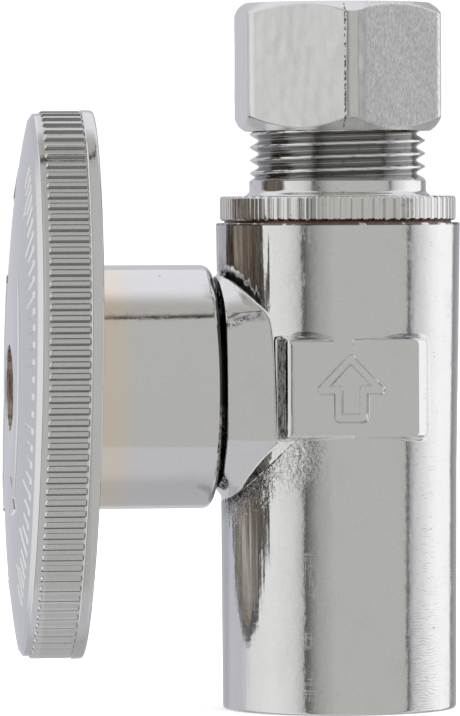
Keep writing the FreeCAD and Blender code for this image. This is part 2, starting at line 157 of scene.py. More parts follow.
# ------------------------------------------------------------------ materials
class Mat:
    def __init__(self, name, color, rough, metallic=1.0):
        self.mat = bpy.data.materials.new(name)
        self.mat.use_nodes = True
        self.t = self.mat.node_tree
        self.b = self.t.nodes["Principled BSDF"]
        self.b.inputs["Metallic"].default_value = metallic
        self.b.inputs["Base Color"].default_value = (*color, 1)
        self.b.inputs["Roughness"].default_value = rough
        self.coord = self.t.nodes.new("ShaderNodeTexCoord")
        self.height = None

    def node(self, kind, **kw):
        n = self.t.nodes.new(kind)
        for k, v in kw.items():
            setattr(n, k, v)
        return n

    def link(self, a, b):
        self.t.links.new(a, b)

    def mapped(self, scale=(1, 1, 1), loc=(0, 0, 0)):
        m = self.node("ShaderNodeMapping")
        m.inputs["Scale"].default_value = scale
        m.inputs["Location"].default_value = loc
        self.link(self.coord.outputs["Object"], m.inputs["Vector"])
        return m.outputs["Vector"]

    def noise(self, per_mm, detail=3.0, rough=0.5, stretch=(1, 1, 1), distort=0.0, loc=(0, 0, 0)):
        n = self.node("ShaderNodeTexNoise")
        n.inputs["Scale"].default_value = per_mm * 1000
        n.inputs["Detail"].default_value = detail
        n.inputs["Roughness"].default_value = rough
        n.inputs["Distortion"].default_value = distort
        self.link(self.mapped(stretch, loc), n.inputs["Vector"])
        return n.outputs["Fac"]

    def ramp(self, value, a, b, lo=0.0, hi=1.0):
        r = self.node("ShaderNodeMapRange")
        r.interpolation_type = "SMOOTHSTEP"
        r.inputs["From Min"].default_value = a
        r.inputs["From Max"].default_value = b
        r.inputs["To Min"].default_value = lo
        r.inputs["To Max"].default_value = hi
        self.link(value, r.inputs["Value"])
        return r.outputs["Result"]

    def math(self, op, a, b=None, clamp=False):
        n = self.node("ShaderNodeMath", operation=op)
        n.use_clamp = clamp
        for i, x in enumerate((a, b)):
            if x is None:
                continue
            if isinstance(x, (int, float)):
                n.inputs[i].default_value = x
            else:
                self.link(x, n.inputs[i])
        return n.outputs[0]

    def axis(self, i):
        s = self.node("ShaderNodeSeparateXYZ")
        self.link(self.coord.outputs["Object"], s.inputs[0])
        return s.outputs[i]

    def blend_color(self, fac, c1, c2):
        m = self.node("ShaderNodeMix", data_type="RGBA")
        self.link(fac, m.inputs["Factor"])
        for sock, c in ((m.inputs[6], c1), (m.inputs[7], c2)):
            if isinstance(c, tuple):
                sock.default_value = (*c, 1)
            else:
                self.link(c, sock)
        return m.outputs[2]

    def color(self, sock):
        self.link(sock, self.b.inputs["Base Color"])

    def rough(self, sock):
        self.link(sock, self.b.inputs["Roughness"])

    def bump(self, height, micron, strength=1.0):
        n = self.node("ShaderNodeBump")
        n.inputs["Strength"].default_value = strength
        n.inputs["Distance"].default_value = micron * 1e-6
        self.link(height, n.inputs["Height"])
        if self.height is not None:
            self.link(self.height, n.inputs["Normal"])
        self.height = n.outputs["Normal"]
        self.link(self.height, self.b.inputs["Normal"])


def chrome(name, color=(0.86, 0.86, 0.855), rough=0.07, wave=4.0, fine=5.0, scratch=1.6, tint=(0.80, 0.795, 0.78), pits=True, pit_scale=420, pit_share=0.2):
    m = Mat(name, color, rough)
    cloud = m.math("ADD", m.math("MULTIPLY", m.ramp(m.noise(0.22, 5, 0.65), 0.50, 0.78), 0.45),
                   m.math("MULTIPLY", m.ramp(m.noise(5.5, 3, 0.7, loc=(0.0, 0.0, 0.05)), 0.35, 0.70), 0.40), clamp=True)
    col = m.blend_color(cloud, color, tint)
    m.rough(m.ramp(m.noise(0.9, 5, 0.7, loc=(0.01, 0, 0)), 0.3, 0.8, rough * 0.75, rough * 1.7))
    m.bump(m.noise(0.45, 2, 0.4), wave)
    m.bump(m.noise(1.9, 4, 0.65), fine)
    # hairline scratches: thin lines along the level sets of a strongly stretched noise, in two directions
    s1 = m.noise(1.6, 3, 0.6, stretch=(1, 1, 0.06), distort=0.6)
    s2 = m.noise(1.3, 3, 0.6, stretch=(0.08, 0.08, 1.5), distort=0.8, loc=(0.02, 0.01, 0))
    line = m.math("ADD", m.ramp(m.math("ABSOLUTE", m.math("SUBTRACT", s1, 0.5)), 0.0, 0.012, 1.0, 0.0),
                  m.ramp(m.math("ABSOLUTE", m.math("SUBTRACT", s2, 0.5)), 0.0, 0.008, 1.0, 0.0))
    gate = m.ramp(m.noise(0.35, 2, 0.5, loc=(0.03, 0.02, 0.01)), 0.52, 0.62)
    m.bump(m.math("MULTIPLY", line, gate), scratch)
    if pits:
        # a few small dark pits in the plating
        v = m.node("ShaderNodeTexVoronoi")
        v.inputs["Scale"].default_value = pit_scale
        m.link(m.coord.outputs["Object"], v.inputs["Vector"])
        sep = m.node("ShaderNodeSeparateXYZ")
        m.link(v.outputs["Color"], sep.inputs[0])
        some = m.ramp(sep.outputs[0], 1.0 - pit_share, 1.02 - pit_share)
        size = m.math("MULTIPLY", sep.outputs[1], 0.05)
        pit = m.math("MULTIPLY", m.ramp(m.math("SUBTRACT", v.outputs["Distance"], size), 0.012, 0.045, 1.0, 0.0), some)
        m.bump(m.math("SUBTRACT", 1.0, pit), 22.0)
        col = m.blend_color(m.math("MULTIPLY", pit, 0.7), col, (0.10, 0.09, 0.08))
    m.base = col
    m.color(col)
    return m


def bath(name, rgb, rough=0.5):
    m = Mat(name, rgb, rough, metallic=0.0)
    m.color(m.blend_color(m.ramp(m.noise(0.8, 4, 0.6), 0.3, 0.7), rgb, tuple(c * 0.86 for c in rgb)))
    m.rough(m.ramp(m.noise(2.0, 3), 0.3, 0.7, rough * 0.85, min(1.0, rough * 1.15)))
    m.bump(m.noise(3.0, 4, 0.6), 3.0)
    return m


mat_body = chrome("chrome_forged_body", wave=2.0, fine=8.0, rough=0.042, tint=(0.77, 0.765, 0.75))
bx, by, bz = (mat_body.axis(i) for i in range(3))
# ripple marks of the polishing wheel: short dark arcs on the front right of the barrel, thicker towards the mouth
around = mat_body.math("MULTIPLY", mat_body.math("ARCTAN2", bx, mat_body.math("MULTIPLY", by, -1.0)), 180 / math.pi)
where = mat_body.math("MULTIPLY", mat_body.ramp(around, 28.5, 33.0), mat_body.ramp(around, 40.0, 54.0, 1.0, 0.0))
amount = mat_body.math("ADD", mat_body.ramp(bz, 0.003, 0.013, 0.15, 0.02), mat_body.ramp(bz, 0.012, 0.028, 0.0, -0.09))
phase = mat_body.math("ADD", mat_body.math("MULTIPLY", bz, TAU / 0.00023), mat_body.math("MULTIPLY", mat_body.noise(0.9, 2, 0.5, stretch=(0.7, 0.7, 1.0)), 26.0))
ripple = mat_body.ramp(mat_body.math("SINE", phase), 0.25, 0.95)
hit = mat_body.ramp(mat_body.math("ADD", mat_body.noise(1.5, 3, 0.6, stretch=(0.6, 0.6, 1.5)), amount), 0.52, 0.66)
mat_body.base = mat_body.blend_color(mat_body.math("MULTIPLY", mat_body.math("MULTIPLY", mat_body.math("MULTIPLY", hit, where), ripple), 0.55), mat_body.base, (0.40, 0.40, 0.405))
# painted shadow of the handle: darker, speckled colour on the barrel beside the boss's end; and painted shade, mottled,
# in the crease beside the boss
up = mat_body.math("SUBTRACT", bz, 0.0263)
reach = mat_body.math("SUBTRACT", mat_body.math("SQRT", mat_body.math("ADD", mat_body.math("POWER", by, 2.0), mat_body.math("POWER", up, 2.0))), 0.00914)
clear = mat_body.ramp(reach, 0.00020, 0.00034)
shade = mat_body.math("MULTIPLY", mat_body.ramp(bx, -0.00952, -0.00918, 1.0, 0.0), mat_body.ramp(mat_body.noise(2.4, 5, 0.7), 0.25, 0.65, 1.0, 0.7))
shade = mat_body.math("MULTIPLY", shade, clear)
mat_body.base = mat_body.blend_color(mat_body.math("MULTIPLY", shade, 0.85), mat_body.base, (0.46, 0.455, 0.465))
# painted shade: dark, mottled colour in the crease beside the boss, on the handle's side, a little weaker above the
# stem
near = mat_body.math("MULTIPLY", clear, mat_body.ramp(reach, 0.0004, 0.0024, 1.0, 0.0))
near = mat_body.math("MULTIPLY", near, mat_body.ramp(bx, -0.0072, -0.0064, 1.0, 0.0))
near = mat_body.math("MULTIPLY", near, mat_body.ramp(up, -0.001, 0.001, 1.0, 0.8))
mottle = mat_body.ramp(mat_body.noise(2.2, 5, 0.75, stretch=(1, 1, 0.6), loc=(0.01, 0.0, 0.0)), 0.36, 0.60, 1.0, 0.15)
mat_body.base = mat_body.blend_color(mat_body.math("MULTIPLY", near, mottle), mat_body.base, (0.17, 0.165, 0.16))
# hammered skin under the boss: fine dimples with dark arcs between them
ham = mat_body.math("MULTIPLY", mat_body.math("MULTIPLY", clear, mat_body.ramp(reach, 0.0010, 0.0036, 1.0, 0.0)),
                    mat_body.math("MULTIPLY", mat_body.ramp(up, -0.0042, -0.0032, 1.0, 0.0), mat_body.ramp(bx, -0.0034, -0.0016, 1.0, 0.0)))
dimple = mat_body.noise(3.3, 2, 0.55, stretch=(1.0, 1.0, 1.15), distort=0.5, loc=(0.0, 0.0, 0.012))
web = mat_body.ramp(mat_body.math("ABSOLUTE", mat_body.math("SUBTRACT", dimple, 0.47)), 0.008, 0.030, 1.0, 0.0)
gaps = mat_body.ramp(mat_body.noise(1.9, 2, 0.5, loc=(0.0, 0.015, 0.0)), 0.40, 0.50)
mat_body.base = mat_body.blend_color(mat_body.math("MULTIPLY", mat_body.math("MULTIPLY", ham, web), mat_body.math("MULTIPLY", gaps, 0.8)), mat_body.base, (0.20, 0.195, 0.19))
mat_body.bump(mat_body.math("MULTIPLY", dimple, ham), 70.0)
mat_body.bump(mat_body.noise(3.0, 2, 0.5, stretch=(0.3, 0.3, 1.0), loc=(0.0, 0.0, 0.02)), 3.0)
# a line of brown specks where the boss's upper slope turns into its front, and a smudge above it
line_z = mat_body.math("ADD", mat_body.math("MULTIPLY", mat_body.math("ADD", bx, 0.0102), 0.38), 0.0050)
turn_z = mat_body.math("ABSOLUTE", mat_body.math("SUBTRACT", up, line_z))
smudge = mat_body.math("MULTIPLY", mat_body.ramp(turn_z, 0.00006, 0.00045, 1.0, 0.0), mat_body.ramp(mat_body.noise(2.2, 4, 0.7, loc=(0.0, 0.01, 0.02)), 0.44, 0.54))
on_front = mat_body.math("MULTIPLY", mat_body.ramp(bx, -0.0072, -0.0066, 1.0, 0.0), mat_body.ramp(by, -0.0045, -0.0040, 1.0, 0.0))
smudge = mat_body.math("MULTIPLY", mat_body.math("MULTIPLY", smudge, on_front), mat_body.ramp(reach, 0.0001, 0.0002, 1.0, 0.0))
mat_body.base = mat_body.blend_color(mat_body.math("MULTIPLY", smudge, 0.92), mat_body.base, (0.10, 0.095, 0.10))
cloud = mat_body.math("MULTIPLY", mat_body.math("MULTIPLY", mat_body.ramp(bx, -0.0092, -0.0079), mat_body.ramp(up, 0.0052, 0.0058)), mat_body.ramp(up, 0.0064, 0.0078, 1.0, 0.0))
cloud = mat_body.math("MULTIPLY", mat_body.math("MULTIPLY", cloud, mat_body.ramp(reach, 0.0000, 0.0002, 1.0, 0.0)), mat_body.math("MULTIPLY", on_front, mat_body.ramp(mat_body.noise(1.8, 4, 0.6), 0.30, 0.60, 0.35, 0.9)))
mat_body.base = mat_body.blend_color(mat_body.math("MULTIPLY", cloud, 0.85), mat_body.base, (0.30, 0.29, 0.33))
# painted shade in the fillets above the front pad's top wall, streaky, long at the left, short at the right
lens_l = mat_body.math("MULTIPLY", mat_body.ramp(bx, -0.0056, -0.0044), mat_body.ramp(bx, -0.0040, -0.0006, 1.0, 0.0))
lens_r = mat_body.math("MULTIPLY", mat_body.ramp(bx, 0.0012, 0.0040), mat_body.ramp(bx, 0.0052, 0.0057, 1.0, 0.0))
lens_h = mat_body.math("ADD", mat_body.math("MULTIPLY", lens_l, 0.00062), mat_body.math("MULTIPLY", lens_r, 0.00040))
lens = mat_body.math("MULTIPLY", mat_body.ramp(mat_body.math("SUBTRACT", mat_body.math("SUBTRACT", up, 0.00402), lens_h), -0.00008, 0.0, 1.0, 0.0), mat_body.ramp(up, 0.00396, 0.00404))
lens = mat_body.math("MULTIPLY", mat_body.math("MULTIPLY", lens, mat_body.math("ADD", lens_l, lens_r, clamp=True)), mat_body.ramp(by, -0.0080, -0.0070, 1.0, 0.0))
streak = mat_body.ramp(mat_body.noise(3.0, 3, 0.6, stretch=(0.22, 0.22, 2.0)), 0.36, 0.60, 1.0, 0.35)
mat_body.base = mat_body.blend_color(mat_body.math("MULTIPLY", mat_body.math("MULTIPLY", lens, streak), 0.85), mat_body.base, (0.26, 0.255, 0.29))
# painted shade: the end of the boss, seen through the gap under the shroud, is painted black, with lighter grime clots
# lower down
end = mat_body.math("MULTIPLY", mat_body.ramp(bx, -0.01018, -0.01008, 1.0, 0.0), mat_body.ramp(reach, 0.0001, 0.0003, 1.0, 0.0))
gap_shade_and_crust = mat_body.blend_color(mat_body.math("MULTIPLY", mat_body.ramp(up, -0.0020, -0.0012, 1.0, 0.0), mat_body.ramp(mat_body.noise(2.6, 4, 0.7, loc=(0.0, 0.0, 0.03)), 0.38, 0.60)), (0.022, 0.019, 0.018), (0.24, 0.225, 0.21))
mat_body.base = mat_body.blend_color(end, mat_body.base, gap_shade_and_crust)
# painted shade, speckled near black, against the left wall of the front pad and into its corners
wall = mat_body.math("MULTIPLY", mat_body.math("MULTIPLY", mat_body.ramp(bx, -0.00612, -0.00600), mat_body.ramp(bx, -0.00556, -0.00550, 1.0, 0.0)),
                     mat_body.math("MULTIPLY", mat_body.ramp(mat_body.math("ABSOLUTE", mat_body.math("SUBTRACT", bz, 0.0263)), 0.0039, 0.0042, 1.0, 0.0),
                                   mat_body.ramp(by, -0.0099, -0.0097)))
specks = mat_body.ramp(mat_body.noise(4.5, 4, 0.7, stretch=(1, 1, 0.5), loc=(0.0, 0.02, 0.0)), 0.40, 0.52, 1.0, 0.55)
mat_body.base = mat_body.blend_color(mat_body.math("MULTIPLY", mat_body.math("MULTIPLY", wall, specks), mat_body.ramp(by, -0.0073, -0.0075)), mat_body.base, (0.035, 0.03, 0.028))
# painted shade: a dark line under the top rim, where the body meets the ring above
rim = mat_body.math("MULTIPLY", mat_body.ramp(bz, 0.03936, 0.03944), mat_body.ramp(mat_body.noise(0.8, 3, 0.6), 0.36, 0.46))
mat_body.base = mat_body.blend_color(mat_body.math("MULTIPLY", rim, 0.85), mat_body.base, (0.05, 0.045, 0.04))
mat_body.color(mat_body.base)
mat_handle = chrome("chrome_diecast_handle", color=(0.86, 0.86, 0.865), tint=(0.79, 0.79, 0.80), wave=3.0, fine=5.0, scratch=1.2, pit_scale=1000, pit_share=0.12)
# the grip is darker and mottled: painted shade of the ribs, with grime; and a painted warm reflection towards the root
# of the shroud
hx = mat_handle.axis(0)
grip = mat_handle.math("MULTIPLY", mat_handle.ramp(hx, -0.02485, -0.0247), mat_handle.ramp(hx, -0.0213, -0.0212, 1.0, 0.0))
grip_shade_and_soil = mat_handle.ramp(mat_handle.noise(3.5, 5, 0.7, loc=(0.0, 0.03, 0.0)), 0.30, 0.70, 0.45, 0.95)
mat_handle.base = mat_handle.blend_color(mat_handle.math("MULTIPLY", grip, grip_shade_and_soil), mat_handle.base, (0.72, 0.72, 0.71))
h_r = mat_handle.math("SQRT", mat_handle.math("ADD", mat_handle.math("POWER", mat_handle.axis(1), 2.0), mat_handle.math("POWER", mat_handle.math("SUBTRACT", mat_handle.axis(2), 0.0263), 2.0)))
# painted warm reflection on the shroud beside the handle's brown back
warm_reflection = mat_handle.math("MULTIPLY", mat_handle.ramp(hx, -0.0200, -0.0165, 1.0, 0.0), mat_handle.ramp(h_r, 0.01000, 0.01012, 1.0, 0.0))
warm_reflection = mat_handle.math("MULTIPLY", warm_reflection, mat_handle.ramp(hx, -0.0216, -0.0214))
mat_handle.base = mat_handle.blend_color(mat_handle.math("MULTIPLY", warm_reflection, 0.8), mat_handle.base, (0.95, 0.84, 0.69))
mat_handle.color(mat_handle.base)
# painted shade on the lower flank of each rib: a darker, duller chrome
mat_rib_shade = chrome("painted_shade_rib_lower_flanks", color=(0.27, 0.27, 0.265), tint=(0.42, 0.415, 0.40), rough=0.25, wave=1.0, fine=6.0, scratch=0.5, pits=False)
# painted shade: a dark, dull chrome on the inner rounding of the handle's rear rim
mat_rim_shade = chrome("painted_shade_on_handle_rim", color=(0.30, 0.295, 0.285), tint=(0.17, 0.16, 0.15), rough=0.30, wave=2.0, fine=8.0, scratch=0.5, pits=False)
# painted shade in the gap under the shroud's mouth: near black, with lighter grime clots lower down
mat_gap_shade_and_grime = Mat("painted_shade_and_grime_in_the_gap", (0.03, 0.027, 0.025), 0.55, metallic=0.2)
gz = mat_gap_shade_and_grime.axis(2)
clot = mat_gap_shade_and_grime.math("MULTIPLY", mat_gap_shade_and_grime.ramp(gz, 0.0243, 0.0252, 1.0, 0.0), mat_gap_shade_and_grime.ramp(mat_gap_shade_and_grime.noise(2.6, 4, 0.7), 0.38, 0.60))
mat_gap_shade_and_grime.color(mat_gap_shade_and_grime.blend_color(clot, (0.028, 0.024, 0.022), (0.26, 0.24, 0.22)))
mat_gap_shade_and_grime.rough(mat_gap_shade_and_grime.ramp(mat_gap_shade_and_grime.noise(3.0, 3), 0.3, 0.7, 0.45, 0.65))
mat_gap_shade_and_grime.bump(mat_gap_shade_and_grime.noise(3.0, 4, 0.6), 25.0)
mat_adapter = chrome("chrome_turned_adapter", wave=2.0, fine=4.0, scratch=0.8, rough=0.10)

# radius from the axis: painted shade darkens the thread's roots and flanks, leaving its crests bright
sq = mat_adapter.math("SQRT", mat_adapter.math("ADD", mat_adapter.math("POWER", mat_adapter.axis(0), 2.0), mat_adapter.math("POWER", mat_adapter.axis(1), 2.0)))
az_ = mat_adapter.axis(2)
in_thread = mat_adapter.ramp(az_, 0.0431, 0.0434)
thread_root_shade = mat_adapter.math("MULTIPLY", mat_adapter.ramp(sq, 0.00690, 0.00712, 1.0, 0.0), in_thread)
mat_adapter.base = mat_adapter.blend_color(mat_adapter.math("MULTIPLY", thread_root_shade, 0.93), mat_adapter.base, (0.40, 0.40, 0.395))
# a little brown grime trapped in the thread and by the collar
dirt = mat_adapter.ramp(mat_adapter.noise(0.9, 5, 0.7, loc=(0.004, 0.0, 0.0)), 0.60, 0.70)
trap = mat_adapter.math("ADD", thread_root_shade, mat_adapter.ramp(sq, 0.0093, 0.0095, 1.0, 0.0), clamp=True)
mat_adapter.base = mat_adapter.blend_color(mat_adapter.math("MULTIPLY", mat_adapter.math("MULTIPLY", dirt, trap), 0.75), mat_adapter.base, (0.17, 0.12, 0.08))
mat_adapter.color(mat_adapter.base)
turn = mat_adapter.noise(6.0, 3, 0.6, stretch=(0.05, 0.05, 1))
mat_adapter.bump(turn, 3.0)

# inner faces of the handle: unplated casting, dull and brownish, with painted light and shade: pale towards the bottom,
# streaky dark brown towards the top, the pale part darker towards -Y
mat_raw = Mat("raw_casting", (0.34, 0.29, 0.24), 0.42, metallic=0.55)
rz = mat_raw.axis(2)
tone = mat_raw.blend_color(mat_raw.ramp(mat_raw.noise(1.5, 5, 0.7, stretch=(1, 1, 0.08)), 0.36, 0.66), (0.50, 0.42, 0.34), (0.09, 0.06, 0.04))
pale = mat_raw.blend_color(mat_raw.ramp(mat_raw.noise(0.9, 4, 0.6, stretch=(1, 1, 0.2)), 0.35, 0.7), (0.86, 0.83, 0.78), (0.62, 0.56, 0.48))
low = mat_raw.blend_color(mat_raw.ramp(mat_raw.axis(1), -0.0045, 0.0015), (0.40, 0.35, 0.30), pale)
mat_raw.color(mat_raw.blend_color(mat_raw.ramp(rz, 0.0090, 0.0215, 1.0, 0.0), tone, low))
mat_raw.rough(mat_raw.ramp(mat_raw.noise(1.7, 4), 0.3, 0.7, 0.32, 0.55))
mat_raw.bump(mat_raw.noise(2.2, 5, 0.65), 14.0)

# nut: satin brushed flats, with a coarser sparkle on the flats that face +X
mat_nut = Mat("chrome_brushed_nut", (0.84, 0.84, 0.83), 0.20)
brush = mat_nut.noise(5.0, 4, 0.7, stretch=(1, 1, 0.05))
grain = mat_nut.noise(6.6, 4, 0.75, stretch=(1, 1, 0.40))
side = mat_nut.ramp(mat_nut.axis(0), 0.0008, 0.0014)
nut_tone = mat_nut.blend_color(mat_nut.ramp(mat_nut.noise(2.0, 5, 0.75, stretch=(1, 1, 0.4)), 0.35, 0.75), (0.86, 0.86, 0.85), (0.80, 0.80, 0.795))
nut_rough_side = mat_nut.blend_color(mat_nut.ramp(grain, 0.38, 0.62), (0.87, 0.87, 0.865), (0.66, 0.66, 0.655))
nut_tone = mat_nut.blend_color(side, nut_tone, nut_rough_side)
# dark specks along the left edge of the front corner
spine = mat_nut.ramp(mat_nut.math("ABSOLUTE", mat_nut.math("SUBTRACT", mat_nut.axis(0), -0.00058)), 0.00004, 0.00011, 1.0, 0.0)
spine = mat_nut.math("MULTIPLY", mat_nut.math("MULTIPLY", spine, mat_nut.ramp(mat_nut.axis(1), -0.0078, -0.0080)), mat_nut.ramp(mat_nut.noise(3.2, 3, 0.7), 0.44, 0.54))
nut_tone = mat_nut.blend_color(mat_nut.math("MULTIPLY", spine, 0.9), nut_tone, (0.06, 0.055, 0.05))
mat_nut.color(nut_tone)
mat_nut.rough(mat_nut.ramp(mat_nut.noise(2.2, 4, 0.6), 0.3, 0.75, 0.16, 0.23))
mat_nut.bump(brush, 2.4)
mat_nut.bump(mat_nut.math("MULTIPLY", grain, side), 20.0)
mat_nut_in = chrome("brass_nut_inside", color=(0.72, 0.58, 0.34), tint=(0.60, 0.46, 0.26), rough=0.2, wave=3.0, pits=False)

mat_brass = chrome("machined_brass", color=(0.78, 0.62, 0.34), tint=(0.66, 0.50, 0.26), rough=0.16, wave=2.0, pits=False)
mat_ball = chrome("chrome_ball_plate", rough=0.03, wave=1.0, scratch=0.4, pits=False)
mat_copper = chrome("copper_ring", color=(0.22, 0.10, 0.06), tint=(0.08, 0.04, 0.03), rough=0.35, wave=2.0, pits=False)
mat_steel = chrome("plated_steel_screw", color=(0.62, 0.62, 0.62), tint=(0.46, 0.44, 0.42), rough=0.25, wave=2.0, pits=False)
mat_ptfe = bath("white_ptfe", (0.86, 0.86, 0.83), 0.38)
mat_rubber = bath("black_rubber", (0.035, 0.035, 0.035), 0.62)


# ------------------------------------------------------------------ the forged body
def body_field(x, y, z):
    """Signed distance, near enough, to the body's outer surface."""
    R = np.interp(z, [0.0, 20.0, 39.6], [9.53, 9.62, 9.96])
    barrel = np.hypot(x, y) - R
    # side boss for the stem: round, flattened front and back, swelling towards the barrel
    dzb = z - STEM_Z
    grow = 0.30 * sstep(-10.2, -8.6, x)
    droop = 0.75 * sstep(-9.3, -10.25, x) * sstep(-2.0, -8.5, dzb) * sstep(6.6, 3.6, np.abs(y))
    rb = np.hypot(y, dzb) - (9.02 + grow - droop)
    flatw = np.abs(y) - (7.74 - 0.07 * sstep(-10.2, -7.2, x) - 0.042 * dzb - 0.004 * dzb ** 2)
    slope = 0.766 * np.abs(y) - 0.643 * dzb - 8.60                                # lower chamfers, front and back
    boss = smax(smax(smax(rb, flatw, 0.42), slope, 0.22), -10.2 - x, 0.28)
    boss = np.maximum(boss, x + 1.0)
    # marking pads front and back: drafted walls, the +X one the flatter
    ay = np.abs(y)
    out = np.clip(9.97 - ay, -1, 4)
    xc = x + 0.17
    wr = 5.25 + np.where(out < 0.8, out * 0.95, 0.76 + (out - 0.8) * 0.24)
    wl = 5.25 + out * 0.32
    h = 3.95 + out * 0.15
    dx = np.where(xc > 0, xc - wr, -xc - wl)
    dz = np.abs(z - STEM_Z) - h
    c = np.where(xc > 0, 0.45, 0.25) + np.clip(out, 0, 2.5) * 0.16
    rect = np.hypot(np.maximum(dx + c, 0), np.maximum(dz + c, 0)) + np.minimum(np.maximum(dx + c, dz + c), 0) - c
    pad = smax(rect * 0.85, ay - 9.97, np.where(xc > 0, 0.14, 0.62))
    f = smin(barrel, boss, 0.13)
    return smin(f, pad, 0.16)


def arrow_mask(x, z):
    """1 inside the sunk line of a generic flow arrow: an outlined upward arrow."""
    def seg(ax, az, bx, bz):
        px, pz = x - ax, z - az
        dx, dz = bx - ax, bz - az
        t = np.clip((px * dx + pz * dz) / (dx * dx + dz * dz), 0, 1)
        return np.hypot(px - t * dx, pz - t * dz)
    pts = [(-1.05, -2.35), (1.05, -2.35), (1.05, -0.1), (2.45, -0.1), (0.0, 2.4), (-2.45, -0.1), (-1.05, -0.1), (-1.05, -2.35)]
    d = np.full(np.broadcast(x, z).shape, 9.0)
    for (ax, az), (bx, bz) in zip(pts[:-1], pts[1:]):
        d = np.minimum(d, seg(ax, az, bx, bz))
    return 1 - sstep(0.24, 0.42, d)


